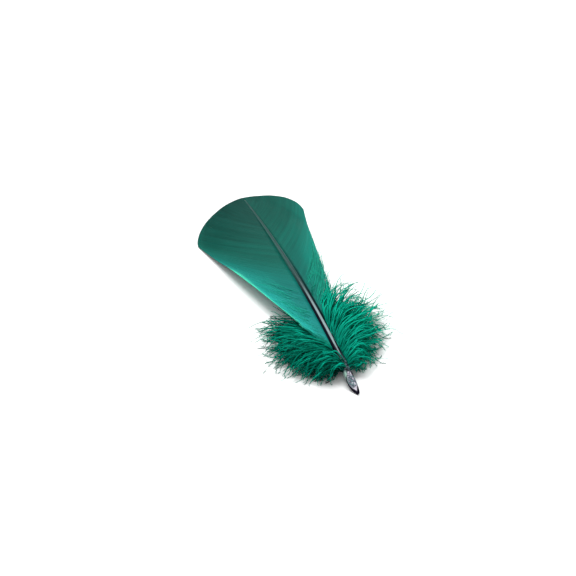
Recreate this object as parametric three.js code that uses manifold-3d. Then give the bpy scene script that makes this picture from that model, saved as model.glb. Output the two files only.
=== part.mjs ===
// A goose quill feather, dyed green, lying on a flat surface with its outer side up.
//
// It has a bare quill with a slanting cut, which runs on as the shaft, two vanes, the left one wider than
// the right, and locks of down on each side of the shaft below the vanes.
// Millimetres, +Z up. The feather points along +Y, and the quill's cut end is its lowest Y. The origin is
// on the surface it lies on, under the middle of its bounding box.
//
// Places along the feather are y, measured from the cut end. Places across it are v, measured from the
// shaft's centreline along X. A side is -1 for the left and 1 for the right.

import * as THREE from "three";
import { mergeVertices } from "three/addons/utils/BufferGeometryUtils.js";
import Module from "manifold-3d";

const wasm = await Module();
wasm.setup();

const { clamp, lerp, smoothstep, degToRad } = THREE.MathUtils;
const UP = new THREE.Vector3(0, 0, 1);

// Driving dimensions of the whole feather
const LENGTH = 121; // cut end of the quill to the tip of the vanes
const ARCH = 4; // how far the middle of the shaft rises above a straight line between its ends
const SIDE_BOW = 0.3; // how far the middle of the shaft bows to the right
const QUILL_BEND = 0.5; // how far the cut end of the quill bends to the left
const QUILL_BEND_END = 32; // where the bend has died away
const GAP = 0.3; // clearance between pieces that touch

// Quill and shaft
const QUILL_RADIUS = 1.4;
const END_NARROWING = { share: 0.12, length: 4 }; // the quill narrows a little towards its cut end
const SHAFT_RADIUS = 1.15; // where the quill's taper ends
const SHAFT_TIP_RADIUS = 0.22;
const SHAFT_TAPER_POWER = 1.5; // the shaft keeps its thickness near the quill and loses it near the tip
const SHAFT_END = 118.5;
const QUILL_TAPER = [7, 22]; // the quill narrows to the shaft between these
const BORE_RADIUS = 0.95;
const BORE_TAPER = [8, 13]; // the hollow of the quill closes between these
const BORE_END_SHARE = 0.2; // of its radius, left where it closes
const CUT_LENGTH = 8.3; // of the slanting cut, along the feather
const CUT_LIP = 0.08; // height of the wall that is left at the cut end
const CUT_ROLL = 22; // degrees that the cut faces to the left
const GROOVE_DEPTH = 0.3; // of the groove under the shaft, as a share of its radius

// Vanes. Each starts and is widest at a place along the feather. Its lower margin is a mix of two powers,
// of which swell is the share of the first. The curve round its tip has the power corner, where 1 is a
// quarter of an ellipse. Each split is the barb it opens at, its half width and its depth, all as shares.
const VANES = {
  left_vane: {
    side: -1,
    start: 20.2,
    widest: 94.5,
    width: 24.7,
    margin: { swell: 1, powers: [0.82, 1] },
    corner: 1.3,
    curl: 0.9, // height of the turned-up stretch of the lower margin
    splits: [[0.26, 0.02, 0.12], [0.55, 0.016, 0.06], [0.8, 0.016, 0.04]],
  },
  right_vane: {
    side: 1,
    start: 26,
    widest: 106,
    width: 18.7,
    margin: { swell: 0.62, powers: [0.4, 2] },
    corner: 0.8,
    curl: 0.4,
    splits: [[0.12, 0.02, 0.22], [0.3, 0.018, 0.12], [0.64, 0.016, 0.05]],
  },
};
const LAST_BARB_ROOT = SHAFT_END - 1;
const MARGIN_SHARE = 0.64; // of the outline that lies below the widest place
const FAN_POWER = 0.63; // spreads the barbs' ends round the tip of the vane
const LAST_BARB = 0.99; // the barbs run from 0, the lowest, to 1, the very tip
const EDGE_DROP = 3.4; // how far the edge of a vane lies below the shaft where the vane is widest
const VANE_THICKNESS = { shaft: 0.6, margin: 0.36 };
const BARB_RELIEF = 0.07; // height of the ridges that the barbs make
const TOOTH = 0.014; // share of a barb's length by which every second one is shorter
const CURL_STRETCH = [0.06, 0.16, 0.42, 0.56]; // shares of the outline: starts, full, full, ends

// Down. A pair gives the lowest and the highest lock's: its root's place along the feather, its reach, its
// angle in degrees from the feather's own direction, and the height of its tip above the surface.
const LOCKS = 15; // on each side
const DOWN = {
  left_down: { side: -1, roots: [12, 27], reach: [17, 22], lift: 3, angles: [90, 46], tipHeights: [0.2, 1] },
  right_down: { side: 1, roots: [12, 29], reach: [14, 27], lift: 4.5, angles: [90, 32], tipHeights: [0.2, 8] },
};
const LAST_ROOT_DROP = 1.7; // how far the highest lock starts below the shaft's centreline
const LOCK_DROOP = [20, 8]; // degrees that a lock turns away from the feather's tip in its first and last third
const LOCK_HALF_WIDTH = 1.45;
const LOCK_HALF_HEIGHT = 0.85;
const LOCK_TIP_SHARE = 0.2; // of that width and height, left at the tip

// Detail of the meshes
const SHAFT_SIDES = 12;
const SHAFT_STEPS = 34;
const BORE_STEPS = 8;
const VANE_COLUMNS = 54;
const VANE_ROWS = 6;
const LOCK_SIDES = 6;
const LOCK_STEPS = 7;
const LOCK_BASE_STEPS = 12;

function shaftX(y) {
  const t = y / LENGTH;
  return SIDE_BOW * 4 * t * (1 - t) - QUILL_BEND * (1 - smoothstep(y, 0, QUILL_BEND_END));
}

function shaftZ(y) {
  const t = y / LENGTH;
  return lerp(QUILL_RADIUS, VANE_THICKNESS.margin / 2, t) + ARCH * 4 * t * (1 - t);
}

function shaftRadius(y) {
  const towardsTip = clamp((y - QUILL_TAPER[1]) / (SHAFT_END - QUILL_TAPER[1]), 0, 1);
  const shaft = lerp(SHAFT_RADIUS, SHAFT_TIP_RADIUS, towardsTip ** SHAFT_TAPER_POWER);
  const quill = QUILL_RADIUS * (1 - END_NARROWING.share * (1 - smoothstep(y, 0, END_NARROWING.length)));
  return lerp(quill, shaft, smoothstep(y, ...QUILL_TAPER));
}

// Places that run from 0 to 1 in even steps.
function evenly(steps) {
  return Array.from({ length: steps + 1 }, (_, i) => i / steps);
}

// A ring of points round a centre, square to a level or rising direction, clockwise as seen along it.
function ring(centre, forward, halfWidth, halfHeight, sides, groove = 0) {
  const right = new THREE.Vector3().crossVectors(forward, UP).normalize();
  const up = new THREE.Vector3().crossVectors(right, forward).normalize();
  return Array.from({ length: sides }, (_, i) => {
    const angle = (2 * Math.PI * i) / sides;
    const underside = Math.max(0, -Math.cos(angle)) ** 8;
    return centre
      .clone()
      .addScaledVector(right, halfWidth * Math.sin(angle))
      .addScaledVector(up, halfHeight * Math.cos(angle) * (1 - groove * underside));
  });
}

// A closed geometry through rings that all go clockwise as seen along it.
function loft(rings) {
  const sides = rings[0].length;
  const faces = [];
  for (let i = 0; i + 1 < rings.length; i++) {
    for (let j = 0; j < sides; j++) {
      const a = i * sides + j;
      const b = i * sides + ((j + 1) % sides);
      faces.push(a, b, b + sides, a, b + sides, a + sides);
    }
  }
  const last = (rings.length - 1) * sides;
  for (let j = 1; j + 1 < sides; j++) {
    faces.push(0, j + 1, j, last, last + j, last + j + 1);
  }
  return new THREE.BufferGeometry().setFromPoints(rings.flat()).setIndex(faces);
}

// A loft along the shaft's centreline between two places, with its radius at each.
function shaftLoft(from, to, steps, radius, groove = () => 0) {
  const along = new THREE.Vector3(0, 1, 0);
  return loft(
    evenly(steps).map((t) => {
      const y = lerp(from, to, t);
      const centre = new THREE.Vector3(shaftX(y), y, shaftZ(y));
      return ring(centre, along, radius(y), radius(y), SHAFT_SIDES, groove(y));
    }),
  );
}

function solidOf(geometry) {
  geometry.deleteAttribute("normal");
  geometry.deleteAttribute("uv");
  const merged = mergeVertices(geometry, 1e-4);
  return new wasm.Manifold(
    new wasm.Mesh({
      numProp: 3,
      vertProperties: merged.attributes.position.array,
      triVerts: new Uint32Array(merged.index.array),
    }),
  );
}

function geometryOf(solid) {
  const { vertProperties, triVerts } = solid.getMesh();
  const geometry = new THREE.BufferGeometry();
  geometry.setAttribute("position", new THREE.BufferAttribute(vertProperties, 3));
  geometry.setIndex(new THREE.BufferAttribute(triVerts, 1));
  return geometry;
}

// Everything above the slanting cut: a wedge as wide as the quill and more, rolled about the quill's axis.
function cutWedge() {
  const past = 1; // how far it runs beyond the cut end and over the quill
  const bottom = shaftZ(0) - shaftRadius(0) + CUT_LIP;
  const top = shaftZ(CUT_LENGTH) + QUILL_RADIUS;
  const slope = (top - bottom) / CUT_LENGTH;
  const outline = new THREE.Shape([
    new THREE.Vector2(-past, bottom - slope * past),
    new THREE.Vector2(CUT_LENGTH, top),
    new THREE.Vector2(CUT_LENGTH, top + past),
    new THREE.Vector2(-past, top + past),
  ]);
  const width = 4 * QUILL_RADIUS;
  const wedge = new THREE.ExtrudeGeometry(outline, { depth: width, bevelEnabled: false });
  wedge.translate(0, 0, -width / 2);
  wedge.rotateX(Math.PI / 2); // the outline's X stays, its Y stands up
  wedge.rotateZ(Math.PI / 2); // and its X then lies along the feather
  wedge.translate(0, 0, -shaftZ(0));
  wedge.rotateY(-degToRad(CUT_ROLL));
  wedge.translate(shaftX(0), 0, shaftZ(0));
  return wedge;
}

function quillAndShaft() {
  const groove = (y) => GROOVE_DEPTH * smoothstep(y, ...QUILL_TAPER);
  const bore = (y) => BORE_RADIUS * lerp(1, BORE_END_SHARE, smoothstep(y, ...BORE_TAPER));
  return geometryOf(
    solidOf(shaftLoft(0, SHAFT_END, SHAFT_STEPS, shaftRadius, groove))
      .subtract(solidOf(shaftLoft(-1, BORE_TAPER[1], BORE_STEPS, bore)))
      .subtract(solidOf(cutWedge())),
  );
}

// The outline of a vane from its lowest barb, 0, to its tip, 1.
function outlineAt(vane, share) {
  if (share < MARGIN_SHARE) {
    const part = share / MARGIN_SHARE;
    const [early, late] = vane.margin.powers.map((power) => part ** power);
    return { y: lerp(vane.start, vane.widest, part), v: vane.width * lerp(late, early, vane.margin.swell) };
  }
  const angle = ((Math.PI / 2) * (share - MARGIN_SHARE)) / (1 - MARGIN_SHARE);
  return {
    y: lerp(vane.widest, LENGTH, Math.sin(angle) ** vane.corner),
    v: vane.width * Math.max(0, Math.cos(angle)) ** vane.corner,
  };
}

// Nearest that a vane comes to the shaft's centreline.
function innerEdge(y) {
  return y < SHAFT_END ? shaftRadius(y) + GAP : GAP / 2;
}

// Height of the middle of a vane: it falls away from the shaft, and lies on the surface where it meets it.
function vaneZ(vane, y, v) {
  const free = shaftZ(y) + 0.25 * shaftRadius(y) - EDGE_DROP * (v / vane.width) ** 2;
  const lying = VANE_THICKNESS.shaft / 2 + BARB_RELIEF;
  const softness = 0.3;
  const above = free - lying;
  return lying + (above + Math.hypot(above, softness)) / 2;
}

// How far the lower margin turns up at a place on the outline.
function curlAt(vane, share) {
  const [starts, full, fades, ends] = CURL_STRETCH;
  return vane.curl * smoothstep(share, starts, full) * (1 - smoothstep(share, fades, ends));
}

// A place on a vane: barb runs from 0, the lowest, to 1, the tip, and along from the shaft to the margin.
function vanePoint(vane, barb, along) {
  const root = lerp(vane.start, LAST_BARB_ROOT, barb);
  const share = barb ** FAN_POWER;
  const margin = outlineAt(vane, share);
  const rootV = innerEdge(root);
  const marginV = innerEdge(margin.y) + margin.v;
  const middle = { y: lerp(root, margin.y, 0.38), v: lerp(rootV, marginV, 0.6) };
  const open = vane.splits.reduce(
    (depth, [where, halfWidth, deep]) => depth + deep * Math.max(0, 1 - Math.abs(barb - where) / halfWidth),
    0,
  );
  const s = along * (1 - open);
  const bezier = (a, b, c) => (1 - s) ** 2 * a + 2 * s * (1 - s) * b + s ** 2 * c;
  const y = bezier(root, middle.y, margin.y);
  const v = bezier(rootV, middle.v, marginV);
  const z = vaneZ(vane, y, v) + curlAt(vane, share) * s ** 6;
  return new THREE.Vector3(shaftX(y) + vane.side * v, y, z);
}

// A vane is a thin slab with one column of points for each barb, every second one a ridge.
function vaneSlab(vane) {
  const points = [];
  const faces = [];
  for (const [i, column] of evenly(VANE_COLUMNS).entries()) {
    const shorter = i % 2 ? TOOTH : 0;
    for (const row of evenly(VANE_ROWS)) {
      const middle = vanePoint(vane, column * LAST_BARB, row * (1 - shorter));
      const half = lerp(VANE_THICKNESS.shaft, VANE_THICKNESS.margin, row) / 2;
      const relief = (i % 2 ? -1 : 1) * BARB_RELIEF;
      points.push(middle.clone().addScaledVector(UP, half + relief));
      points.push(middle.clone().addScaledVector(UP, -half + relief));
    }
  }
  const top = (i, j) => (i * (VANE_ROWS + 1) + j) * 2;
  const under = (i, j) => top(i, j) + 1;
  const quad = (...corners) => {
    const [a, b, c, d] = vane.side < 0 ? corners : corners.reverse();
    faces.push(a, b, c, a, c, d);
  };
  for (let i = 0; i < VANE_COLUMNS; i++) {
    for (let j = 0; j < VANE_ROWS; j++) {
      quad(top(i, j), top(i + 1, j), top(i + 1, j + 1), top(i, j + 1));
      quad(under(i, j), under(i, j + 1), under(i + 1, j + 1), under(i + 1, j));
    }
    quad(top(i, 0), under(i, 0), under(i + 1, 0), top(i + 1, 0));
    quad(top(i, VANE_ROWS), top(i + 1, VANE_ROWS), under(i + 1, VANE_ROWS), under(i, VANE_ROWS));
  }
  for (let j = 0; j < VANE_ROWS; j++) {
    quad(top(0, j), top(0, j + 1), under(0, j + 1), under(0, j));
    quad(top(VANE_COLUMNS, j), under(VANE_COLUMNS, j), under(VANE_COLUMNS, j + 1), top(VANE_COLUMNS, j + 1));
  }
  return new THREE.BufferGeometry().setFromPoints(points).setIndex(faces);
}

// Where a lock leaves the side of the shaft, from the lowest lock, 0, to the highest, 1.
function lockRoot(down, place) {
  const y = lerp(...down.roots, place);
  return new THREE.Vector3(shaftX(y) + down.side * innerEdge(y), y, shaftZ(y) - LAST_ROOT_DROP * place);
}

// A lock of down: it leaves the shaft, rises, arches outwards and comes down again towards its tip. The
// lowest rises at once, and the highest first passes under the vane. Locks differ in reach, lift and
// direction by steady waves of their number.
function lock(down, number) {
  const place = number / (LOCKS - 1);
  const reach = lerp(...down.reach, place) * (1 + 0.12 * Math.sin(2.4 * number));
  const lift = down.lift * (1 + 0.3 * Math.sin(3.9 * number + 1));
  const angle = degToRad(lerp(...down.angles, place) + 5 * Math.sin(5.1 * number + 2));
  const droop = degToRad(lerp(...LOCK_DROOP, place));
  const outwards = (turn) => new THREE.Vector3(down.side * Math.sin(turn), Math.cos(turn), 0);
  const start = lockRoot(down, place);
  const early = start.clone().addScaledVector(outwards(angle - droop), 0.3 * reach);
  const late = early.clone().addScaledVector(outwards(angle), 0.4 * reach);
  const tip = late.clone().addScaledVector(outwards(angle + droop), 0.3 * reach);
  early.z += lift * (1 - place);
  late.z += lift * (1 - place);
  tip.z = lerp(...down.tipHeights, place);
  const curve = new THREE.CubicBezierCurve3(start, early, late, tip);
  return loft(
    evenly(LOCK_STEPS).map((t) => {
      const size = lerp(1, LOCK_TIP_SHARE, t ** 2) * lerp(0.75, 1, Math.sin(Math.PI * t));
      const centre = curve.getPoint(t);
      return ring(centre, curve.getTangent(t), LOCK_HALF_WIDTH * size, LOCK_HALF_HEIGHT * size, LOCK_SIDES);
    }),
  );
}

// The mat that the locks grow from, along the side of the shaft.
function lockBase(down) {
  const past = 0.07; // share of its length by which it runs beyond the first and last lock
  const along = new THREE.Vector3(0, 1, 0);
  return loft(
    evenly(LOCK_BASE_STEPS).map((t) => {
      const size = lerp(0.35, 1, Math.sin(Math.PI * t) ** 0.5);
      const centre = lockRoot(down, lerp(-past, 1 + past, t));
      return ring(centre, along, LOCK_HALF_WIDTH * size, LOCK_HALF_HEIGHT * size, LOCK_SIDES);
    }),
  );
}

// The room that the down leaves free: round the shaft, and a slit under it between the two sides.
function roomForShaft() {
  const height = QUILL_RADIUS + ARCH;
  const highest = DOWN.right_down.roots[1];
  const slit = new THREE.BoxGeometry(2 * GAP, LENGTH, height);
  slit.translate(shaftX(highest), LENGTH / 2, shaftZ(highest) - height / 2);
  return solidOf(shaftLoft(0, SHAFT_END, SHAFT_STEPS, innerEdge)).add(solidOf(slit));
}

function downLocks(down) {
  let joined = solidOf(lockBase(down));
  for (let number = 0; number < LOCKS; number++) {
    joined = joined.add(solidOf(lock(down, number)));
  }
  return geometryOf(joined.subtract(roomForShaft()));
}

const quillMaterial = new THREE.MeshStandardMaterial({ color: 0x2a2038, roughness: 0.3, metalness: 0 });
const vaneMaterial = new THREE.MeshStandardMaterial({ color: 0x1f8874, roughness: 0.6, metalness: 0 });
const downMaterial = new THREE.MeshStandardMaterial({ color: 0x05866c, roughness: 0.85, metalness: 0 });

const feather = new THREE.Group();

function addPiece(name, geometry, material) {
  geometry.computeVertexNormals();
  const mesh = new THREE.Mesh(geometry, material);
  mesh.name = name;
  feather.add(mesh);
}

addPiece("quill_shaft", quillAndShaft(), quillMaterial);
for (const [name, vane] of Object.entries(VANES)) {
  addPiece(name, vaneSlab(vane), vaneMaterial);
}
for (const [name, down] of Object.entries(DOWN)) {
  addPiece(name, downLocks(down), downMaterial);
}

// Stand the feather on Z = 0 with the origin under the middle of its box.
const box = new THREE.Box3().setFromObject(feather);
const middle = box.getCenter(new THREE.Vector3());
for (const piece of feather.children) {
  piece.position.set(-middle.x, -middle.y, -box.min.z);
}

export default feather;
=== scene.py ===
"""A goose quill feather, dyed green, lying on a pale surface: its barbs, down, quill and shaft as meshes.

Shapes are worked out in the feather's own millimetres: y runs from the quill's cut end to the tip, v is the
distance from the shaft's centreline along X, and z is the height above the surface. place() turns them into
the shared frame's metres. A side is -1 for the left and 1 for the right.
"""
import math

import bpy
import numpy as np
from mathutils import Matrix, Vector


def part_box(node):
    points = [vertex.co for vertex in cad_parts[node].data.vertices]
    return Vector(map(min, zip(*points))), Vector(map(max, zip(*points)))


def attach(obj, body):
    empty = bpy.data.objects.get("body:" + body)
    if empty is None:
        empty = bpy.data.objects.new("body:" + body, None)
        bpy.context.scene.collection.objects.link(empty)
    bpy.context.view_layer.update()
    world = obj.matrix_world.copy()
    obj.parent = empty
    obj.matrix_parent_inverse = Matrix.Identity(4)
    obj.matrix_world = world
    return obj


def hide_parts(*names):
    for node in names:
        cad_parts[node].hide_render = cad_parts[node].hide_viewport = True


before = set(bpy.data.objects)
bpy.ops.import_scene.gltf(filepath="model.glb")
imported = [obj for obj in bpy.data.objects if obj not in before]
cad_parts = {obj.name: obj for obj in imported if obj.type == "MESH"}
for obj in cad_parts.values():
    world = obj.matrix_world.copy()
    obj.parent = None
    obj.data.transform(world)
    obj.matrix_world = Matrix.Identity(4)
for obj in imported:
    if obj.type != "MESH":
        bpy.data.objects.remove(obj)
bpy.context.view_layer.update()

MM = 0.001
UP = np.array([0.0, 0.0, 1.0])

# The whole feather, in millimetres
LENGTH = 121.0
ARCH = 4.0  # how far the middle of the shaft arches up
SIDE_BOW = 0.3  # how far it bows to the right
QUILL_BEND = 0.5  # how far the cut end bends to the left
QUILL_BEND_END = 32.0

# Quill and shaft. A pair of places is the stretch over which a change sets in
QUILL_RADIUS = 1.4
END_NARROWING = (0.12, 4.0)  # share of its radius that the quill loses towards its end, and over what length
SHAFT_RADIUS = 1.15
SHAFT_TIP_RADIUS = 0.22
SHAFT_TAPER_POWER = 1.5
SHAFT_END = 118.5
QUILL_TAPER = (7.0, 22.0)  # from the quill's radius to the shaft's
GROOVE_DEPTH = 0.3  # of the groove under the shaft, as a share of the radius
GROOVE_POWER = 8
CUT_LENGTH = 8.3
CUT_LIP = 0.08  # from the quill's underside up to the cut, at its end
# How far the cut faces to the left, at its end and at its top
CUT_ROLLS = (math.radians(35), math.radians(-18))
WALL = (0.75, 0.16)  # thickness of the quill's wall at the cut end and further up the cut
WALL_TAPER = (0.8, 4.5)
WALL_ROUNDING = 0.12  # width of the slope from the wall down to the pith
PITH_DEPTH = 0.3  # of the pith's surface below the cut
LEAST_PITH_DEPTH = 0.04  # where the pith would be shallower than this, the cut is flat
# The dark rims of the cut: how wide each is at the cut end, and between which places it narrows to nothing
LEFT_RIM = (0.95, 0.5, 6.2)
RIGHT_RIM = (0.85, 0.5, 3.2)
UPPER_RIM = (0.15, 5.4, 6.2)  # the right rim further up: how wide it is, and between which places it widens
KNOBBLY_FROM = (7.8, 9.3)  # where the rough skin above the cut sets in
KNOBBLY_TO = (13.0, 16.0)  # where it ends
KNOB_HEIGHT = 0.05
KNOB_SWELLING = 0.03  # how much thicker the quill is where it is rough
FINE_ROWS = 120  # sections in the stretch up to the end of the rough skin
PLAIN_ROWS = 165  # sections in the rest
ROW_STEP = 0.6  # between the two
TOP_POINTS = 41  # points of a section over its top, and underneath
UNDER_POINTS = 23
QUILL_SEED = 31
BACK_CENTRE = 0.248  # middle of the pale line along the back, partly its own paler colour and partly a painted highlight, where 0.25 is the very top

# Vanes. A place among the barbs is 0 for the lowest and 1 for the last at the tip
#   start, widest, width: where the vane begins, where it is widest, and how wide it is there
#   swell, powers: up to there the margin grows as two powers of the distance, and swell is the first's share
#   corner: 1 for an elliptical tip, less for a squarer one
#   curl: how high the margin curls
#   loose_end: the place below which the barbs come apart
#   wisps, wisp_ends, fallen: how many fine strands have come away, where along the barbs' length they end,
#     and the share of them that bend down to the lowest barbs
#   tone: the place whose colour the last barb has
#   shine, root_shade: strength of the painted highlight along the lower margin, and darkness of the barbs'
#     roots, partly their own darker base and partly painted shadow
#   inner_shade, pale_end: the places between which the painted shade beside the shaft sets in, and between
#     which the lower end's colour fades
#   splits: places where barbs part, and how far
VANES = {
    "left_vane": dict(
        side=-1, start=20.2, widest=94.5, width=24.7, swell=1.0, powers=(0.82, 1.0), corner=1.3, curl=0.9,
        loose_end=0.06, barbs=260, wisps=36, wisp_ends=(0.35, 0.95), fallen=0.0, tone=0.92, shine=1.0,
        root_shade=0.0, inner_shade=(0.42, 0.22), pale_end=(0.03, 0.5), splits=((0.262, 0.006),), seed=11,
    ),
    "right_vane": dict(
        side=1, start=26.0, widest=106.0, width=18.7, swell=0.62, powers=(0.4, 2.0), corner=0.8, curl=0.4,
        loose_end=0.22, barbs=250, wisps=120, wisp_ends=(0.7, 1.25), fallen=0.25, tone=0.9, shine=0.0,
        root_shade=1.0, inner_shade=(0.6, 0.35), pale_end=(0.05, 0.65), splits=((0.3, 0.006), (0.64, 0.001)),
        seed=12,
    ),
}
LAST_BARB_ROOT = SHAFT_END - 1.0
MARGIN_SHARE = 0.64  # share of the outline that is below the widest place
FAN_POWER = 0.63  # below 1, the barbs' ends run ahead of their roots
VANE_ROOT = (0.9, 0.25)  # where barbs leave the shaft: out and up, as shares of its radius
BARB_BEND = (0.38, 0.6)  # the point that a barb bends towards: shares of its way along the shaft and out
EDGE_DROP = 3.4  # from the shaft down to the margin
SHEET_LIFT = 0.25  # height of the vanes' middle where they lie on the surface
SETTLING = 0.3  # how gently the vanes come down to it
# Shares of the outline where the curl starts, is full, fades and ends
CURL_STRETCH = (0.06, 0.16, 0.42, 0.56)
CURL_POWER = 6  # how close to the margin it keeps
BARB_STEPS = 24
BARB_HALF_HEIGHT = 0.07
BARB_OVERLAP = 2.0  # width of a barb in the sheet, in spacings
BARB_ROLL = math.radians(7)  # they lie like tiles
BARB_ROLL_STRAY = math.radians(1.5)
RIPPLE_HEIGHT = 0.03  # the margin goes up and down by this much
RIPPLE_RATE = 47  # in radians from the first barb to the last
CLUMP_SIZES = (4, 14)  # barbs in a clump: the fewest, and one more than the most
CLUMP_PULL = 0.04
SPLIT_SPREAD = 0.03  # how far from a split, among the barbs, it can be seen
LOOSE_RADIUS = 0.1
LOOSE_STRETCH = (0.15, 0.6)  # where along its length a loose barb leaves the sheet
LOOSE_WAVES = 0.6
WISP_RADIUS = 0.08
WISP_ROOTS = 0.32  # the highest place among the barbs that wisps come from
WISP_STARTS = (0.06, 0.35)  # where along the barbs' length they begin
WISP_LIFT = 0.15  # how far above the vane they begin
WISP_HEIGHTS = (0.3, 1.3)  # how much higher they end
WISP_WAVES = 0.8
WISP_STRAY = 0.02  # how far they stray from their place among the barbs
LOWEST_BARB = 0.02  # where the fallen wisps head for
WISP_MARK = 2.0  # the second UV coordinate of wisps, past the 0 to 1 of the barbs in the sheet

# Waves along loose strands: how many a strand has, and the power by which they grow towards its tip
WAVE_NUMBERS = (0.6, 1.7)
WAVE_GROWTH = 1.5

# Down. Each pair is for the lowest and the highest of the barbs
#   root, lift, tips: where they grow, how high they arch and how high they end
#   angles: their directions, in degrees from the direction of the feather's tip
#   reach: how far they go, with a pull for those in between as its middle number
#   spread: the power that gathers them towards the highest where it is below 1
#   top_from: how far round the quill the lowest barbs begin, in degrees from its top
#   vane_from, over_vane: where the vane starts to cover them, and the share of the upper layer's that lie
#     over it all the same
#   tone, root_shadow: added to their painted brightness, and the brightness of the painted shadow where they
#     leave the shaft
DOWNS = {
    "left_down": dict(
        side=-1, root=(9.5, 29.0), angles=(94, 50), reach=(8.0, 28.0, 24.0), lift=(3.2, 3.2), tips=(0.3, 1.0),
        spread=1.0, top_from=-10, vane_from=23.0, over_vane=0.0, tone=-0.1, root_shadow=0.5, seed=21,
    ),
    "right_down": dict(
        side=1, root=(10.5, 31.0), angles=(90, 33), reach=(6.0, 33.0, 25.0), lift=(3.0, 4.0), tips=(0.5, 6.0),
        spread=0.75, top_from=55, vane_from=26.0, over_vane=0.5, tone=0.22, root_shadow=1.0, seed=22,
    ),
}
# The down of each side has three layers: the reach and lift are shares of the side's, barbule is the length
# of the hairs on each barb, and shade is the range of the barbs' painted brightness, from painted shade in
# the under layer to painted light in the upper
LAYERS = {
    "under": dict(tufts=46, reach=0.86, lift=0.3, barbule=1.15, shade=(0.0, 0.3)),
    "middle": dict(tufts=48, reach=0.95, lift=0.7, barbule=0.9, shade=(0.2, 0.75)),
    "upper": dict(tufts=48, reach=1.0, lift=1.0, barbule=0.7, shade=(0.45, 1.0)),
}
BARBS_PER_TUFT = 3
LOW_ROOTS = (12.0, 18.0)  # below this stretch the down also grows from the top of the quill
SIDE_ROOTS = (70, 100)  # degrees round the shaft from its top, for the roots above that stretch
DOWN_ROOT_DEPTH = 0.95  # how far out the roots are, as a share of the shaft's radius
DOWN_WAVES = 1.7  # how far the tips of the downy barbs wander
DOWN_PARTS = (0.3, 0.4, 0.3)  # shares of a downy barb's reach in its first, middle and last part
DROOP = 22  # degrees that it turns away from the feather's tip from each part to the next
# How much tufts differ, and how much the barbs in a tuft do
REACH_STRAY = (0.08, 0.11)
LIFT_STRAY = (0.35, 0.3)
ANGLE_STRAY = (7, 7)
DROOP_STRAY = (9, 12)
TIP_STRAY = (0.4, 0.5)
USUAL_REACH = 0.88
REACH_LIMITS = (0.4, 1.03)
USUAL_LIFT = 0.8
LEAST_LIFT = 0.1
UNDER_VANE_DROP = 1.2  # how far below the shaft's centreline the down starts where the vane is over it
UNDER_VANE_STRETCH = 4.0
UNDER_VANE_FLATNESS = 0.9  # share of its arching that it loses there
TIP_CEILING = 7.4  # the highest that a downy barb's tip is aimed
CURVE_HEIGHTS = (0.1, TIP_CEILING + 0.4)  # what the barbs keep between
DOWN_STEPS = 15
DOWN_WIDTH = 0.24  # half the width of a downy barb's flat stem, and half its height
DOWN_HEIGHT = 0.07
DOWN_ROLL_STRAY = math.radians(25)
BARBULES_PER_BARB = 170
BARBULE_RADIUS = 0.036
BARBULE_LEANS = (18, 48)  # degrees from the barb
BARBULE_LENGTHS = (0.5, 1.2)  # shares of the layer's barbule
LOWEST_HAIR = 0.02  # height of the lowest hairs

# Colours, as seen in sRGB
# The vanes' run from dark tips to pale lower ends is partly their own colour and partly painted light and
# shade, and the differences between the left and right vanes' colours are painted light and shade
VANE_TIPS = {"left_vane": (6, 71, 63), "right_vane": (6, 84, 73)}
VANE_MIDDLE = (8, 106, 92)
VANE_LOWS = {"left_vane": (34, 190, 180), "right_vane": (18, 152, 136)}
# painted highlight along the left vane's lower margin, where it catches the light
VANE_EDGE_HIGHLIGHT = (80, 226, 190)
# painted shade beside the shaft; at the right vane's roots partly their own darker base and partly painted
# shadow
VANE_SHADE = (4, 44, 48)
WISP = (36, 192, 166)
# Painted shade for the dark barbs deep in the down, the down's own colour, and painted light on the bright
# barbs on top
DOWN_PAINTED_SHADE = (0, 66, 56)
DOWN_MIDDLE = (0, 156, 130)
DOWN_LIT = (6, 206, 174)
HORN = (4, 1, 20)
HORN_HIGH = (50, 90, 84)
# A pale line along the back: partly its own paler colour and partly a painted highlight, which dims further
# up the shaft
HORN_BACK_AND_HIGHLIGHT = (120, 142, 144)
HORN_BACK_AND_HIGHLIGHT_HIGH = (28, 56, 56)
HORN_SPOTS = (84, 112, 116)
PITH = (206, 200, 212)
PITH_MIDDLE = (88, 126, 128)
PITH_DARK = (64, 58, 80)
CUT_EDGE = (170, 206, 192)
FLOOR = (244, 245, 245)

# Noise: how fine it is along each of a surface's coords
STREAKS = (240.0, 1.2, 1.0)
BANDS = (34.0, 0.9, 1.0)
DOWN_GRAIN = (90.0, 90.0, 90.0)
HORN_RIDGES = (60.0, 40.0, 1.0)
HORN_BLOTS = (22.0, 120.0, 1.0)
PITH_BLOTS = (2300.0, 2300.0, 2300.0)
PITH_PATCHES = (1300.0, 1300.0, 1300.0)

# Camera: the way it looks, in degrees clockwise of +Y and below the horizon, and where, in millimetres
CAMERA_HEADING = 18.74
CAMERA_TILT = 36.0
CAMERA_DISTANCE = 450.0
CAMERA_AIM = (-2.376, 60.589, 0.0)
CAMERA_LENS = 81.418
SENSOR = 36.0

# Lights, in watts and metres: where each stands off, in degrees clockwise of +Y and above the horizon
LIGHTS = {
    "key": dict(energy=14.0, size=0.8, heading=10.0, height=58.0, distance=1.0),
    "fill": dict(energy=2.5, size=1.0, heading=215.0, height=50.0, distance=1.2),
}
WORLD_STRENGTH = 0.45
FLOOR_HALF = 3.0


def place(points):
    """Feather millimetres to the shared frame's metres. The CAD's quill says where the feather lies."""
    low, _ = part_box("quill_shaft")
    leftmost = shaft_x(CUT_LENGTH / 2) - QUILL_RADIUS
    offset = np.array([low.x / MM - leftmost, low.y / MM, 0.0])
    return (np.asarray(points) + offset) * MM


def lerp(a, b, t):
    return a + (b - a) * t


def smoothstep(x, low, high):
    t = np.clip((x - low) / (high - low), 0.0, 1.0)
    return t * t * (3 - 2 * t)


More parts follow.
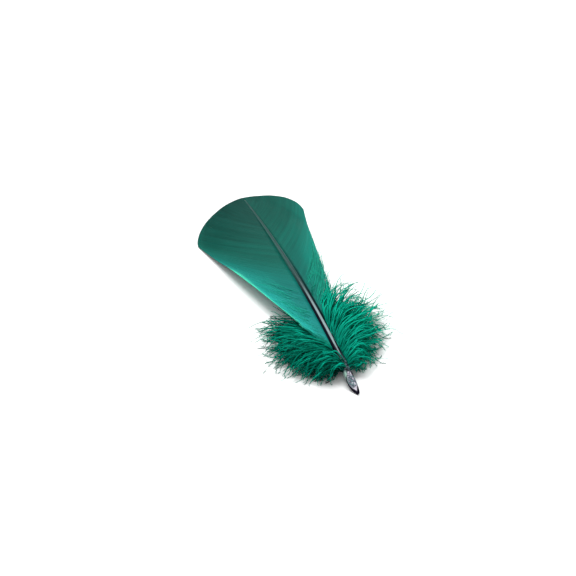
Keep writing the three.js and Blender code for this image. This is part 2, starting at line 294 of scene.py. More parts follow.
def unit(vectors):
    return vectors / np.maximum(np.linalg.norm(vectors, axis=-1, keepdims=True), 1e-9)


def bent(start, middle, end, t):
    """Places along a line from start to end that bends towards middle."""
    return (1 - t) ** 2 * start + 2 * t * (1 - t) * middle + t ** 2 * end


def shaft_x(y):
    t = y / LENGTH
    return SIDE_BOW * 4 * t * (1 - t) - QUILL_BEND * (1 - smoothstep(y, 0, QUILL_BEND_END))


def shaft_z(y):
    t = y / LENGTH
    return lerp(QUILL_RADIUS, SHEET_LIFT, t) + ARCH * 4 * t * (1 - t)


def shaft_radius(y):
    towards_tip = np.clip((y - QUILL_TAPER[1]) / (SHAFT_END - QUILL_TAPER[1]), 0.0, 1.0)
    shaft = lerp(SHAFT_RADIUS, SHAFT_TIP_RADIUS, towards_tip ** SHAFT_TAPER_POWER)
    share, length = END_NARROWING
    quill = QUILL_RADIUS * (1 - share * (1 - smoothstep(y, 0, length)))
    return lerp(quill, shaft, smoothstep(y, *QUILL_TAPER))


# Meshes


def new_piece(name, points, polygons, coords, materials, node):
    """A mesh object in place of a CAD node. coords is a pair of numbers per point, kept as the UV map."""
    mesh = bpy.data.meshes.new(name)
    faces = [polygon for group in polygons for polygon in group.tolist()]
    mesh.from_pydata(place(points).tolist(), [], faces)
    corners = np.empty(len(mesh.loops), dtype=np.int32)
    mesh.loops.foreach_get("vertex_index", corners)
    uv = mesh.uv_layers.new(name="strand")
    uv.uv.foreach_set("vector", np.asarray(coords, dtype=np.float32)[corners].ravel())
    mesh.polygons.foreach_set("use_smooth", np.ones(len(mesh.polygons), dtype=bool))
    for material in materials:
        mesh.materials.append(material)
    piece = bpy.data.objects.new(name, mesh)
    bpy.context.collection.objects.link(piece)
    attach(piece, "root")
    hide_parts(node)
    return piece


def joined(parts):
    """One mesh's points, polygons and coords from several (points, polygons, coords)."""
    points = []
    polygons = []
    coords = []
    start = 0
    for part_points, part_polygons, part_coords in parts:
        points.append(part_points)
        polygons += [group + start for group in part_polygons]
        coords.append(part_coords)
        start += len(part_points)
    return np.concatenate(points), polygons, np.concatenate(coords)


def bundle(centres, half_width, half_height, sides, roll, across, along):
    """Many closed strands at once. centres is (strands, steps, 3), the half sizes are (strands, steps), roll
    is (strands, 1) radians, and across and along are the strands' coords, broadcast to (strands, steps)."""
    strands, steps, _ = centres.shape
    forward = unit(np.gradient(centres, axis=1))
    level = unit(np.cross(forward, UP))
    upright = np.cross(level, forward)
    cos = np.cos(roll)[..., None]
    sin = np.sin(roll)[..., None]
    right = level * cos + upright * sin
    up = upright * cos - level * sin
    angle = 2 * math.pi * np.arange(sides) / sides
    points = (
        centres[:, :, None]
        + (right * half_width[..., None])[:, :, None] * np.sin(angle)[:, None]
        + (up * half_height[..., None])[:, :, None] * np.cos(angle)[:, None]
    )
    first = (np.arange(strands) * steps * sides)[:, None, None]
    ring = (np.arange(steps - 1) * sides)[:, None]
    here = np.arange(sides)
    following = (here + 1) % sides
    walls = [first + ring + here, first + ring + following]
    walls += [walls[1] + sides, walls[0] + sides]
    caps_low = first[:, 0] + here[::-1]
    caps_high = first[:, 0] + (steps - 1) * sides + here
    coords = np.stack([np.broadcast_to(coord, (strands, steps)) for coord in (across, along)], axis=-1)
    return (
        points.reshape(-1, 3),
        [np.stack(walls, axis=-1).reshape(-1, 4), caps_low, caps_high],
        np.repeat(coords.reshape(-1, 2), sides, axis=0),
    )


def spikes(bases, directions, lengths, radius, across, along):
    """Many thin closed spikes at once: a three-cornered base and a point."""
    count = len(bases)
    # Any direction does for the base's first corner, as long as it isn't the spike's own
    sideways = unit(np.cross(directions, unit(UP + 0.3 * directions[:, [1, 2, 0]])))
    upright = np.cross(sideways, directions)
    angle = 2 * math.pi * np.arange(3) / 3
    around = sideways[:, None] * np.cos(angle)[:, None] + upright[:, None] * np.sin(angle)[:, None]
    rings = bases[:, None] + radius * around
    tips = (bases + directions * lengths[:, None])[:, None]
    points = np.concatenate([rings, tips], axis=1)
    points[..., 2] = np.maximum(points[..., 2], LOWEST_HAIR)
    first = (np.arange(count) * 4)[:, None]
    faces = np.concatenate([first + np.array(f) for f in ((0, 2, 1), (0, 1, 3), (1, 2, 3), (2, 0, 3))])
    coords = np.repeat(np.stack([across, along], axis=-1), 4, axis=0)
    return points.reshape(-1, 3), [faces], coords


def waves(rng, count, s, size):
    """Waves along each strand that grow towards its tip, as offsets."""
    phase = rng.uniform(0, 2 * math.pi, (count, 1, 3))
    number = rng.uniform(*WAVE_NUMBERS, (count, 1, 3))
    return size * (s ** WAVE_GROWTH)[..., None] * np.sin(2 * math.pi * number * s[..., None] + phase)


# Vanes


def outline_at(vane, share):
    """The outline of a vane, y and v, from its lowest barb, 0, to its tip, 1."""
    part = np.clip(share / MARGIN_SHARE, 0.0, 1.0)
    early, late = (part ** power for power in vane["powers"])
    low_y = lerp(vane["start"], vane["widest"], part)
    low_v = vane["width"] * lerp(late, early, vane["swell"])
    angle = (math.pi / 2) * np.clip((share - MARGIN_SHARE) / (1 - MARGIN_SHARE), 0.0, 1.0)
    high_y = lerp(vane["widest"], LENGTH, np.sin(angle) ** vane["corner"])
    high_v = vane["width"] * np.maximum(np.cos(angle), 0.0) ** vane["corner"]
    low = share < MARGIN_SHARE
    return np.where(low, low_y, high_y), np.where(low, low_v, high_v)


def vane_z(vane, y, v):
    """Height of a vane, which falls away from the shaft until it lies on the surface."""
    free = shaft_z(y) + VANE_ROOT[1] * shaft_radius(y) - EDGE_DROP * (v / vane["width"]) ** 2
    above = free - SHEET_LIFT
    return SHEET_LIFT + (above + np.hypot(above, SETTLING)) / 2


def curl_at(vane, share):
    starts, full, fades, ends = CURL_STRETCH
    return vane["curl"] * smoothstep(share, starts, full) * (1 - smoothstep(share, fades, ends))


def vane_points(vane, root_barb, end_barb, along):
    """Places on a vane, for barbs that leave the shaft at root_barb and head for the margin at end_barb."""
    root = lerp(vane["start"], LAST_BARB_ROOT, root_barb)
    share = np.clip(end_barb, 0.0, 1.0) ** FAN_POWER
    margin_y, margin_v = outline_at(vane, share)
    root_v = VANE_ROOT[0] * shaft_radius(root)
    margin_v = margin_v + shaft_radius(margin_y) * (1 - smoothstep(margin_y, 0.9 * SHAFT_END, SHAFT_END))
    middle_y = lerp(root, margin_y, BARB_BEND[0])
    middle_v = lerp(root_v, margin_v, BARB_BEND[1])
    y = bent(root, middle_y, margin_y, along)
    v = bent(root_v, middle_v, margin_v, along)
    z = vane_z(vane, y, v) + curl_at(vane, share) * along ** CURL_POWER
    return np.stack([shaft_x(y) + vane["side"] * v, y, z], axis=-1)


def clump_pull(barb, rng):
    """How far each barb's end moves to the middle of its clump."""
    pull = np.zeros_like(barb)
    start = 0
    while start < len(barb):
        size = rng.integers(*CLUMP_SIZES)
        members = slice(start, start + size)
        pull[members] = barb[members].mean() - barb[members]
        start += size
    return pull


def opening_at(vane, barb):
    """How far each barb's end moves away from the vane's splits."""
    opening = 0
    for where, width in vane["splits"]:
        away = barb - where
        opening = opening + np.sign(away) * width * np.exp(-np.abs(away) / SPLIT_SPREAD)
    return opening


def vane_sheet(vane, rng):
    """The barbs hooked together into a sheet, which come apart into strands at its lower end."""
    count = vane["barbs"]
    barb = np.linspace(0.002, 0.999, count) + rng.normal(0, 0.08 / count, count)
    clump = clump_pull(barb, rng)
    reach = 1 - np.abs(rng.normal(0, 0.001, count))
    s = (np.linspace(0, 1, BARB_STEPS) ** 0.9)[None] * reach[:, None]
    end = barb[:, None] + (CLUMP_PULL * clump + opening_at(vane, barb))[:, None] * s ** 3
    points = vane_points(vane, barb[:, None], end, s)
    forward = unit(np.gradient(points, axis=1))
    spacing = np.linalg.norm(np.cross(np.gradient(points, axis=0), forward), axis=-1)
    sheet = 0.5 * BARB_OVERLAP * np.minimum(spacing, 2 * np.median(spacing, axis=0))
    loose = (1 - smoothstep(barb, 0.3 * vane["loose_end"], vane["loose_end"]))[:, None]
    loose = loose * smoothstep(s, *LOOSE_STRETCH)
    half_width = lerp(sheet, LOOSE_RADIUS, loose) * (1 - 0.2 * smoothstep(s, 0.98, 1.0))
    half_height = np.broadcast_to(BARB_HALF_HEIGHT * (1 - 0.4 * s), s.shape)
    points = points + loose[..., None] * waves(rng, count, s, LOOSE_WAVES)
    points[..., 2] += RIPPLE_HEIGHT * np.sin(RIPPLE_RATE * barb)[:, None] * s
    points[..., 2] = np.maximum(points[..., 2], BARB_HALF_HEIGHT)
    roll = BARB_ROLL * vane["side"] + rng.normal(0, BARB_ROLL_STRAY, (count, 1))
    return bundle(points, half_width, half_height, 4, roll, vane["tone"] * barb[:, None], s)


def wisps(vane, rng):
    """Fine strands that have come away from the upper side of the vane, most of them at its lower end. The
    fallen ones bend down to the vane's lowest barbs."""
    count = vane["wisps"]
    barb = (WISP_ROOTS * rng.uniform(0, 1, count) ** 1.4)[:, None]
    start = rng.uniform(*WISP_STARTS, (count, 1))
    end = rng.uniform(*vane["wisp_ends"], (count, 1))
    t = np.linspace(0, 1, BARB_STEPS)[None]
    s = lerp(start, end, t)
    fallen = rng.uniform(0, 1, (count, 1)) < vane["fallen"]
    end_barb = lerp(barb, LOWEST_BARB, fallen * np.clip(s, 0, 1) ** 1.2)
    end_barb = end_barb + rng.normal(0, WISP_STRAY, (count, 1)) * s ** 2
    points = vane_points(vane, barb, end_barb, s)
    points = points + waves(rng, count, t * np.ones_like(s), WISP_WAVES)
    points[..., 2] += WISP_LIFT + rng.uniform(*WISP_HEIGHTS, (count, 1)) * np.sin(math.pi * t / 2)
    radius = WISP_RADIUS * (1 - 0.6 * t) * np.ones_like(s)
    return bundle(points, radius, radius, 3, np.zeros((count, 1)), vane["tone"] * barb, WISP_MARK)


def make_vane(name, vane):
    rng = np.random.default_rng(vane["seed"])
    points, polygons, coords = joined([vane_sheet(vane, rng), wisps(vane, rng)])
    new_piece(name + "_barbs", points, polygons, coords, [vane_material(name, vane)], name)


# Down


def varied(rng, tufts, stray):
    """How far each downy barb strays: as its tuft does, and by itself."""
    with_tuft = np.repeat(rng.normal(0, stray[0], tufts), BARBS_PER_TUFT)
    return with_tuft + rng.normal(0, stray[1], tufts * BARBS_PER_TUFT)


def down_roots(down, y, rng):
    """Where the downy barbs at y leave the shaft."""
    on_side = rng.uniform(*SIDE_ROOTS, len(y))
    on_top = rng.uniform(down["top_from"], SIDE_ROOTS[1], len(y))
    round_shaft = np.radians(lerp(on_top, on_side, smoothstep(y, *LOW_ROOTS)))
    depth = DOWN_ROOT_DEPTH * shaft_radius(y)
    return np.stack([
        shaft_x(y) + down["side"] * depth * np.sin(round_shaft),
        y,
        shaft_z(y) + depth * np.cos(round_shaft),
    ], axis=-1)


def down_curves(down, layer, rng):
    """The downy barbs of one layer of one side, in tufts, as points along cubic curves."""
    tufts = layer["tufts"]
    count = tufts * BARBS_PER_TUFT
    high = np.repeat(np.linspace(0, 1, tufts) ** down["spread"], BARBS_PER_TUFT) + rng.normal(0, 0.015, count)
    lowest, pull, highest = down["reach"]
    reach = lerp(lerp(lowest, pull, high), lerp(pull, highest, high), high)
    reach = layer["reach"] * reach * np.clip(USUAL_REACH + varied(rng, tufts, REACH_STRAY), *REACH_LIMITS)
    lift = layer["lift"] * lerp(*down["lift"], high)
    lift = lift * np.maximum(LEAST_LIFT, USUAL_LIFT + varied(rng, tufts, LIFT_STRAY))
    angle = np.radians(lerp(*down["angles"], high) + varied(rng, tufts, ANGLE_STRAY))
    droop = np.radians(DROOP + varied(rng, tufts, DROOP_STRAY))
    y = lerp(*down["root"], high) + rng.normal(0, 0.3, count)
    start = down_roots(down, y, rng)
    under_vane = smoothstep(y, down["vane_from"] - UNDER_VANE_STRETCH, down["vane_from"])
    under_vane = under_vane * (rng.uniform(0, 1, count) > layer["lift"] * down["over_vane"])
    start[:, 2] -= UNDER_VANE_DROP * under_vane
    lift = lift * (1 - UNDER_VANE_FLATNESS * under_vane)

    def onwards(turn, share):
        """A level step, a share of the reach long."""
        direction = np.stack([down["side"] * np.sin(turn), np.cos(turn), 0 * turn], axis=-1)
        return direction * (share * reach)[:, None]

    early = start + onwards(angle - droop, DOWN_PARTS[0])
    late = early + onwards(angle, DOWN_PARTS[1])
    tip = late + onwards(angle + droop, DOWN_PARTS[2])
    early[:, 2] += lift
    late[:, 2] += 0.9 * lift
    tip_height = layer["lift"] * lerp(*down["tips"], high) * (1 + varied(rng, tufts, TIP_STRAY))
    tip[:, 2] = np.clip(tip_height, CURVE_HEIGHTS[0], TIP_CEILING)
    t = np.linspace(0, 1, DOWN_STEPS)[None, :, None]
    curve = (
        (1 - t) ** 3 * start[:, None]
        + 3 * t * (1 - t) ** 2 * early[:, None]
        + 3 * t ** 2 * (1 - t) * late[:, None]
        + t ** 3 * tip[:, None]
    )
    curve = curve + waves(rng, count, t[..., 0] * np.ones((count, 1)), DOWN_WAVES)
    curve[..., 2] = np.clip(curve[..., 2], *CURVE_HEIGHTS)
    return curve


def barbules(curves, across, length, rng):
    """Short hairs all round each curve, leaning towards its tip."""
    count, steps, _ = curves.shape
    where = np.sort(rng.uniform(0.03, 0.995, (count, BARBULES_PER_BARB)), axis=1)
    step = where * (steps - 1)
    low = np.minimum(step.astype(int), steps - 2)
    rows = np.arange(count)[:, None]
    bases = lerp(curves[rows, low], curves[rows, low + 1], (step - low)[..., None]).reshape(-1, 3)
    forward = unit(curves[rows, low + 1] - curves[rows, low]).reshape(-1, 3)
    level = unit(np.cross(forward, UP))
    upright = np.cross(level, forward)
    turn = rng.uniform(0, 2 * math.pi, len(bases))[:, None]
    outwards = level * np.cos(turn) + 0.8 * upright * np.sin(turn)
    lean = np.radians(rng.uniform(*BARBULE_LEANS, len(bases)))[:, None]
    directions = unit(forward * np.cos(lean) + outwards * np.sin(lean))
    where = where.ravel()
    shortening = 0.8 + 0.4 * where - 0.5 * where ** 6
    lengths = length * rng.uniform(*BARBULE_LENGTHS, len(bases)) * shortening
    return spikes(bases, directions, lengths, BARBULE_RADIUS, np.repeat(across, BARBULES_PER_BARB), where)


def make_down(name, down):
    material = down_material(name, down["root_shadow"])
    for number, (layer_name, layer) in enumerate(LAYERS.items()):
        rng = np.random.default_rng(down["seed"] + 10 * number)
        curves = down_curves(down, layer, rng)
        count, steps, _ = curves.shape
        # each barb's painted brightness: painted shade for the dark ones, painted light for the bright ones
        shade = np.clip(rng.uniform(*layer["shade"], count) + down["tone"], 0, 1)
        along = np.linspace(0, 1, steps)
        taper = np.broadcast_to(1 - 0.75 * along ** 3, (count, steps))
        roll = rng.normal(0, DOWN_ROLL_STRAY, (count, 1))
        stems = bundle(curves, DOWN_WIDTH * taper, DOWN_HEIGHT * taper, 4, roll, shade[:, None], along[None])
        points, polygons, coords = joined([stems, barbules(curves, shade, layer["barbule"], rng)])
        new_piece(f"{name}_{layer_name}", points, polygons, coords, [material], name)


# Quill and shaft. A section is worked out round the quill's axis: x to the right of it, heights from it


def quill_skin(x, y, r, phases):
    """Height of the quill's skin, which is rough above the cut."""
    rough = smoothstep(y, *KNOBBLY_FROM) * (1 - smoothstep(y, *KNOBBLY_TO))
    knobs = KNOB_HEIGHT * np.sin(6.7 * y + 3 * x + phases[4]) * np.cos(4.1 * x + 2.3 * y + phases[5])
    return np.sqrt(np.maximum(r * r - x * x, 0.0)) + rough * (KNOB_SWELLING + knobs) * (1 - (x / r) ** 2)


def pith_lumps(x, y, phases):
    """Crossing waves, in millimetres."""
    lumps = 0.06 * np.sin(4.7 * y + phases[0]) * np.sin(6.3 * x + phases[1])
    lumps = lumps + 0.05 * np.sin(8.3 * y + phases[2] + 2 * x)
    return lumps + 0.03 * np.sin(13.7 * y + 7 * x + phases[3])


def quill_top(x, y, r, cut, phases):
    """A section's top line, with the cut and the pith in it as steps: its height at each x, and whether the
    cut shows pale there. cut is the height of the cut."""
    inner = r - lerp(*WALL, float(smoothstep(y, *WALL_TAPER)))
    skin = quill_skin(x, y, r, phases)
    rim = np.minimum(skin, cut)
    bowl = -np.sqrt(np.maximum(inner * inner - x * x, 0.0))
    pith = np.maximum(bowl, cut - PITH_DEPTH + pith_lumps(x, y, phases))
    inside = (np.abs(x) < inner) & (rim > cut - 1e-6) & (pith < cut - LEAST_PITH_DEPTH)
    dip = smoothstep(inner - np.abs(x), 0.0, WALL_ROUNDING)
    top = np.where(inside, lerp(rim, np.minimum(pith, rim), dip), rim)
    left_rim = LEFT_RIM[0] * (1 - smoothstep(y, *LEFT_RIM[1:]))
    right_rim = RIGHT_RIM[0] * (1 - smoothstep(y, *RIGHT_RIM[1:]))
    right_rim = right_rim + UPPER_RIM[0] * smoothstep(y, *UPPER_RIM[1:])
    pale = (skin > cut) & (x > x[0] + left_rim) & (x < x[-1] - right_rim)
    return top, pale


def quill_section(y, phases):
    """The section at y: its points, their coords and whether each is on the pale part of the cut. The points
    are a top line from left to right and an arc underneath, rolled to the side that the cut faces."""
    r = float(shaft_radius(y))
    cut = lerp(CUT_LIP - r, r, y / CUT_LENGTH)
    drop = min(max(-cut, 0.0), 0.999 * r)
    half_chord = math.sqrt(r * r - drop * drop)
    x = half_chord * np.sin(np.linspace(-math.pi / 2, math.pi / 2, TOP_POINTS))
    top, pale = quill_top(x, y, r, cut, phases)
    start = math.asin(min(drop / r, 1.0))
    sweep = np.linspace(-start, start - math.pi, UNDER_POINTS + 2)[1:-1]
    groove = GROOVE_DEPTH * float(smoothstep(y, *QUILL_TAPER))
    under_r = r * (1 - groove * np.maximum(0.0, -np.sin(sweep)) ** GROOVE_POWER)
    across = np.concatenate([x, under_r * np.cos(sweep)])
    height = np.concatenate([top, under_r * np.sin(sweep)])
    roll = lerp(*CUT_ROLLS, float(smoothstep(y, 0, CUT_LENGTH)))
    roll *= 1 - float(smoothstep(y, CUT_LENGTH, QUILL_TAPER[1]))
    points = np.stack([
        shaft_x(y) + across * math.cos(roll) - height * math.sin(roll),
        np.full(len(across), y),
        shaft_z(y) + across * math.sin(roll) + height * math.cos(roll),
    ], axis=-1)
    around = np.concatenate([np.linspace(0, 0.5, TOP_POINTS), np.linspace(0.5, 1, UNDER_POINTS)])
    coords = np.stack([around, np.full(len(around), y / LENGTH)], axis=-1)
    return points, coords, np.concatenate([pale, np.zeros(UNDER_POINTS, dtype=bool)])


def quill_mesh():
    """One closed loft through all the sections, and which of its points are on the pale part of the cut."""
    fine = np.linspace(0, KNOBBLY_TO[1], FINE_ROWS)
    plain = np.linspace(KNOBBLY_TO[1] + ROW_STEP, SHAFT_END, PLAIN_ROWS)
    phases = np.random.default_rng(QUILL_SEED).uniform(0, 2 * math.pi, 6)
    sections = [quill_section(y, phases) for y in np.concatenate([fine, plain])]
    points, coords, pale = (np.concatenate(column) for column in zip(*sections))
    sides = TOP_POINTS + UNDER_POINTS
    here = np.arange(sides)
    following = (here + 1) % sides
    ring = (np.arange(len(sections) - 1) * sides)[:, None]
    walls = np.stack([ring + here, ring + following, ring + following + sides, ring + here + sides], axis=-1)
    last = (len(sections) - 1) * sides
    polygons = [walls.reshape(-1, 4), here[::-1][None], (last + here)[None]]
    return points, polygons, coords, pale


def make_quill(horn, pith):
    points, polygons, coords, pale = quill_mesh()
    piece = new_piece("quill", points, polygons, coords, [horn, pith], "quill_shaft")
    for polygon in piece.data.polygons:
        if len(polygon.vertices) == 4 and all(pale[i] for i in polygon.vertices):
            polygon.material_index = 1


# Materials


def colour(rgb):
    """An sRGB colour from 0 to 255 as the linear colour that shaders take."""
    shares = [value / 255 for value in rgb]
    linear = [c / 12.92 if c <= 0.04045 else ((c + 0.055) / 1.055) ** 2.4 for c in shares]
    return (*linear, 1.0)


class Shader:
    """A material's node tree, with short ways to add nodes and join them up."""

    def __init__(self, name):
        self.material = bpy.data.materials.new(name)
        self.material.use_nodes = True
        self.tree = self.material.node_tree
        self.tree.nodes.clear()

    def add(self, kind, settings=None, **inputs):
        """A new node. An input is named after its socket, or after the socket's number, as at0, at1."""
        node = self.tree.nodes.new("ShaderNode" + kind)
        for key, value in (settings or {}).items():
            setattr(node, key, value)
        for key, value in inputs.items():
            which = int(key[2:]) if key.startswith("at") else key.replace("_", " ")
            socket = node.inputs[which]
            if isinstance(value, bpy.types.NodeSocket):
                self.tree.links.new(value, socket)
            else:
                socket.default_value = value
        return node

    def mix(self, factor, a, b, blend="MIX"):
        """Colour a to colour b by factor."""
        node = self.add("Mix", dict(data_type="RGBA", blend_type=blend), at0=factor, at6=a, at7=b)
        return node.outputs[2]

    def scaled(self, tone, factor):
        """A colour made darker or lighter by factor."""
        return self.mix(1.0, tone, factor, "MULTIPLY")

    def fade(self, value, low, high, to_low=0.0, to_high=1.0):
        """to_low where value is low, to_high where it is high, and a smooth change between them."""
        settings = dict(interpolation_type="SMOOTHSTEP")
        node = self.add("MapRange", settings, at0=value, at1=low, at2=high, at3=to_low, at4=to_high)
        return node.outputs[0]

    def maths(self, operation, a, b=0.0):
        return self.add("Math", dict(operation=operation), at0=a, at1=b).outputs[0]

    def product(self, a, b):
        return self.maths("MULTIPLY", a, b)

    def noise(self, coords, scale, detail):
        mapped = self.add("Mapping", at0=coords, at3=scale)
        return self.add("TexNoise", at2=1.0, Vector=mapped.outputs[0], Detail=detail).outputs[0]

    def bump(self, height, strength, distance):
        return self.add("Bump", Strength=strength, Distance=distance, Height=height).outputs[0]

    def finish(self, surface):
        output = self.add("OutputMaterial")
        self.tree.links.new(surface, output.inputs["Surface"])
        return self.material


def strand_coords(shader):
    """The strand UV map and its two numbers: which strand, and how far along it."""
    uv = shader.add("UVMap", dict(uv_map="strand"))
    split = shader.add("SeparateXYZ", at0=uv.outputs[0])
    return uv.outputs[0], split.outputs[0], split.outputs[1]


def thin_surface(shader, base, bump, roughness, gloss, translucent):
    """A fibre's surface: nearly matt, and some light let through from behind."""
    front = shader.add(
        "BsdfPrincipled", Base_Color=base, Roughness=roughness, Normal=bump, Specular_IOR_Level=gloss
    )
    through = shader.add("BsdfTranslucent", Color=base)
    both = shader.add("MixShader", at0=translucent, at1=front.outputs[0], at2=through.outputs[0])
    return both.outputs[0]


def vane_material(name, vane):
    """Dyed barbs hooked together, running from dark at the tip to pale at the lower end, partly as their own
    colour and partly as painted light and shade, with a painted highlight along the lower margin, painted
    shade beside the shaft, and roots darkened partly by their own darker base and partly by painted shadow.
    barb is a place among the barbs, and along is 0 to 1 along each of them and WISP_MARK on the wisps."""
    shader = Shader("dyed_" + name)
    uv, barb, along = strand_coords(shader)
    streaks = shader.noise(uv, STREAKS, 3.0)
    bands = shader.noise(uv, BANDS, 2.0)
    # from the pale lower end to the dark tip: partly the feather's own colour, partly painted light and shade
    tone = shader.mix(shader.fade(barb, *vane["pale_end"]), colour(VANE_LOWS[name]), colour(VANE_MIDDLE))
    tone = shader.mix(shader.fade(barb, 0.4, 0.85), tone, colour(VANE_TIPS[name]))
    # painted highlight along the lower margin
    edge = shader.product(shader.fade(along, 0.74, 0.94, 0.0, vane["shine"]), shader.fade(barb, 0.3, 0.26))
    tone = shader.mix(shader.product(edge, shader.fade(barb, 0.0, 0.02)), tone, colour(VANE_EDGE_HIGHLIGHT))
    # painted shade beside the shaft
    inner = shader.product(shader.fade(along, 0.5, 0.1, 0.0, 0.35), shader.fade(barb, *vane["inner_shade"]))
    tone = shader.mix(inner, tone, colour(VANE_SHADE))
    # the right vane's roots: partly their own darker base, partly painted shadow beside the shaft
    root = shader.fade(along, 0.06, 0.02, 0.0, vane["root_shade"])
    tone = shader.mix(shader.product(root, shader.fade(barb, 0.55, 0.2)), tone, colour(VANE_SHADE))
    lowest = shader.fade(barb, 0.05, 0.01)
    tone = shader.mix(lowest, tone, colour(DOWN_MIDDLE))
    tone = shader.mix(shader.fade(along, 1.2, 1.4), tone, colour(WISP))
    tone = shader.scaled(tone, shader.fade(streaks, 0.25, 0.75, 0.84, 1.14))
    tone = shader.scaled(tone, shader.fade(bands, 0.3, 0.7, 0.92, 1.08))
    bump = shader.bump(streaks, strength=0.25, distance=0.00004)
    return shader.finish(thin_surface(shader, tone, bump, roughness=0.55, gloss=0.1, translucent=0.2))


def down_material(name, root_shadow):
    """Dyed down with painted light and shade. shade is a barb's painted brightness, with painted light
    towards the tips of the bright ones, and root_shadow darkens it as painted shadow where the barb leaves
    the shaft.
    """
    shader = Shader("dyed_" + name)
    uv, shade, along = strand_coords(shader)
    # painted shade for the dark barbs between the strands
    tone = shader.mix(shader.fade(shade, 0.0, 0.45), colour(DOWN_PAINTED_SHADE), colour(DOWN_MIDDLE))
    # painted light on the outer parts of the bright barbs
    lit = shader.product(shader.fade(shade, 0.4, 1.0), shader.fade(along, 0.05, 0.5))
    tone = shader.mix(lit, tone, colour(DOWN_LIT))
    # painted shadow where the barbs leave the shaft
    tone = shader.scaled(tone, shader.fade(along, 0.0, 0.18, root_shadow, 1.0))
    bump = shader.bump(shader.noise(uv, DOWN_GRAIN, 2.0), strength=0.2, distance=0.00002)
    return shader.finish(thin_surface(shader, tone, bump, roughness=0.6, gloss=0.04, translucent=0.35))


def horn_material():
    """The dyed quill and shaft, with a pale line along the back that is partly its own paler colour and
    partly a painted highlight, dimmer up the shaft, spots above the cut and a pale left flank beside its top.
    around is 0 to 0.5 from left to right over the top and 0.5 to 1 underneath, and along is a share of
    LENGTH."""
    shader = Shader("dyed_horn")
    uv, around, along = strand_coords(shader)
    ridges = shader.noise(uv, HORN_RIDGES, 3.0)
    blots = shader.noise(uv, HORN_BLOTS, 2.0)
    from_centre = shader.maths("ABSOLUTE", shader.maths("SUBTRACT", around, BACK_CENTRE))
    share = shader.maths("DIVIDE", from_centre, shader.fade(along, 0.115, 0.22, 0.012, 0.06))
    # the pale line along the back: partly its own paler colour, partly a painted highlight, dimmer up the
    # shaft
    back = shader.product(shader.fade(share, 1.15, 0.75), shader.fade(along, 0.12, 0.14))
    back_and_highlight_tone = shader.mix(shader.fade(along, 0.3, 0.5), colour(HORN_BACK_AND_HIGHLIGHT), colour(HORN_BACK_AND_HIGHLIGHT_HIGH))
    side_tone = shader.mix(shader.fade(along, 0.34, 0.62), colour(HORN), colour(HORN_HIGH))
    tone = shader.mix(back, side_tone, back_and_highlight_tone)
    from_left = shader.maths("PINGPONG", around, 0.5)
    flank = shader.product(shader.fade(along, 0.048, 0.058), shader.fade(along, 0.075, 0.066))
    tone = shader.mix(shader.product(flank, shader.fade(from_left, 0.16, 0.08)), tone, colour(CUT_EDGE))
    spots = shader.product(shader.fade(blots, 0.46, 0.62), shader.fade(along, 0.145, 0.115))
    tone = shader.mix(shader.product(spots, shader.fade(along, 0.055, 0.07)), tone, colour(HORN_SPOTS))
    tone = shader.scaled(tone, shader.fade(ridges, 0.3, 0.7, 0.75, 1.25))
    bump = shader.bump(ridges, strength=0.3, distance=0.00003)
    horn = shader.add("BsdfPrincipled", Base_Color=tone, Roughness=0.35, Specular_IOR_Level=0.1, Normal=bump)
    return shader.finish(horn.outputs[0])


def pith_material():
    """The pale part of the cut: mottled pith, darker in the middle, and an edge on the left. around and along
    are as on the horn."""
    shader = Shader("pith")
    _, around, along = strand_coords(shader)
    position = shader.add("TexCoord").outputs["Object"]
    blots = shader.noise(position, PITH_BLOTS, 2.0)
    patches = shader.noise(position, PITH_PATCHES, 1.0)
    middle = shader.product(shader.fade(along, 0.018, 0.03), shader.fade(along, 0.064, 0.05))
    middle = shader.product(middle, shader.fade(patches, 0.36, 0.52))
    tone = shader.mix(middle, colour(PITH), colour(PITH_MIDDLE))
    dark = shader.product(shader.fade(blots, 0.44, 0.54), shader.fade(along, 0.01, 0.025, 0.2, 0.85))
    tone = shader.mix(dark, tone, colour(PITH_DARK))
    tone = shader.mix(shader.fade(around, 0.13, 0.08), tone, colour(CUT_EDGE))
    bump = shader.bump(blots, strength=0.5, distance=0.0001)
    pith = shader.add("BsdfPrincipled", Base_Color=tone, Roughness=0.6, Normal=bump)
    return shader.finish(pith.outputs[0])


# Stage


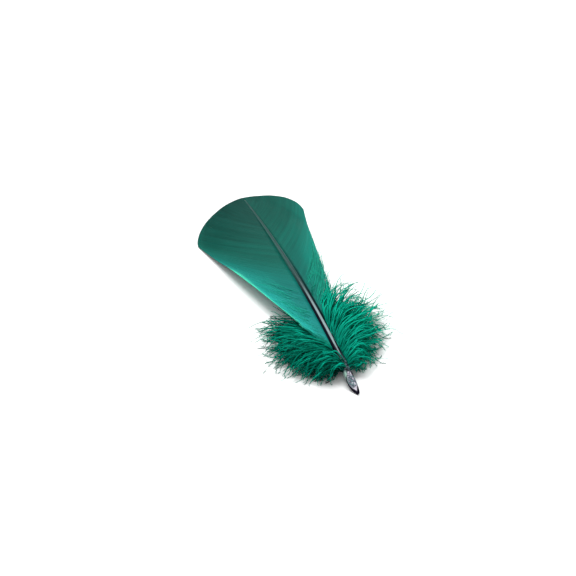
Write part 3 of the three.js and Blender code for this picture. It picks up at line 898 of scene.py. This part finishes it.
def make_floor():
    shader = Shader("pale_floor")
    matt = shader.add("BsdfPrincipled", Base_Color=colour(FLOOR), Roughness=0.8)
    material = shader.finish(matt.outputs[0])
    mesh = bpy.data.meshes.new("floor")
    corners = [(x * FLOOR_HALF, y * FLOOR_HALF, 0) for x, y in ((-1, -1), (1, -1), (1, 1), (-1, 1))]
    mesh.from_pydata(corners, [], [(0, 1, 2, 3)])
    mesh.materials.append(material)
    floor = bpy.data.objects.new("floor", mesh)
    bpy.context.collection.objects.link(floor)


def add_light(name, target, energy, size, heading, height, distance):
    """A square soft light that shines on target."""
    data = bpy.data.lights.new(name, "AREA")
    data.energy = energy
    data.size = size
    light = bpy.data.objects.new(name, data)
    bpy.context.collection.objects.link(light)
    turn = math.radians(heading)
    rise = math.radians(height)
    out = Vector((math.sin(turn) * math.cos(rise), math.cos(turn) * math.cos(rise), math.sin(rise)))
    light.location = target + out * distance
    light.rotation_euler = (-out).to_track_quat("-Z", "Y").to_euler()


def make_camera(target):
    data = bpy.data.cameras.new("camera")
    data.lens = CAMERA_LENS
    data.sensor_width = SENSOR
    data.clip_start = 0.01
    camera = bpy.data.objects.new("camera", data)
    bpy.context.collection.objects.link(camera)
    turn = math.radians(CAMERA_HEADING)
    tilt = math.radians(CAMERA_TILT)
    forward = Vector((math.sin(turn) * math.cos(tilt), math.cos(turn) * math.cos(tilt), -math.sin(tilt)))
    camera.location = target - forward * CAMERA_DISTANCE * MM
    camera.rotation_euler = forward.to_track_quat("-Z", "Y").to_euler()
    bpy.context.scene.camera = camera


def make_world():
    world = bpy.data.worlds.new("studio")
    world.use_nodes = True
    background = world.node_tree.nodes["Background"]
    background.inputs["Color"].default_value = (1.0, 1.0, 1.0, 1.0)
    background.inputs["Strength"].default_value = WORLD_STRENGTH
    bpy.context.scene.world = world
    bpy.context.scene.view_settings.view_transform = "Standard"


aim = Vector(place(CAMERA_AIM))
make_camera(aim)
make_world()
make_floor()
for light_name, light_settings in LIGHTS.items():
    add_light(light_name, aim, **light_settings)
for vane_name, vane_shape in VANES.items():
    make_vane(vane_name, vane_shape)
for down_name, down_shape in DOWNS.items():
    make_down(down_name, down_shape)
make_quill(horn_material(), pith_material())
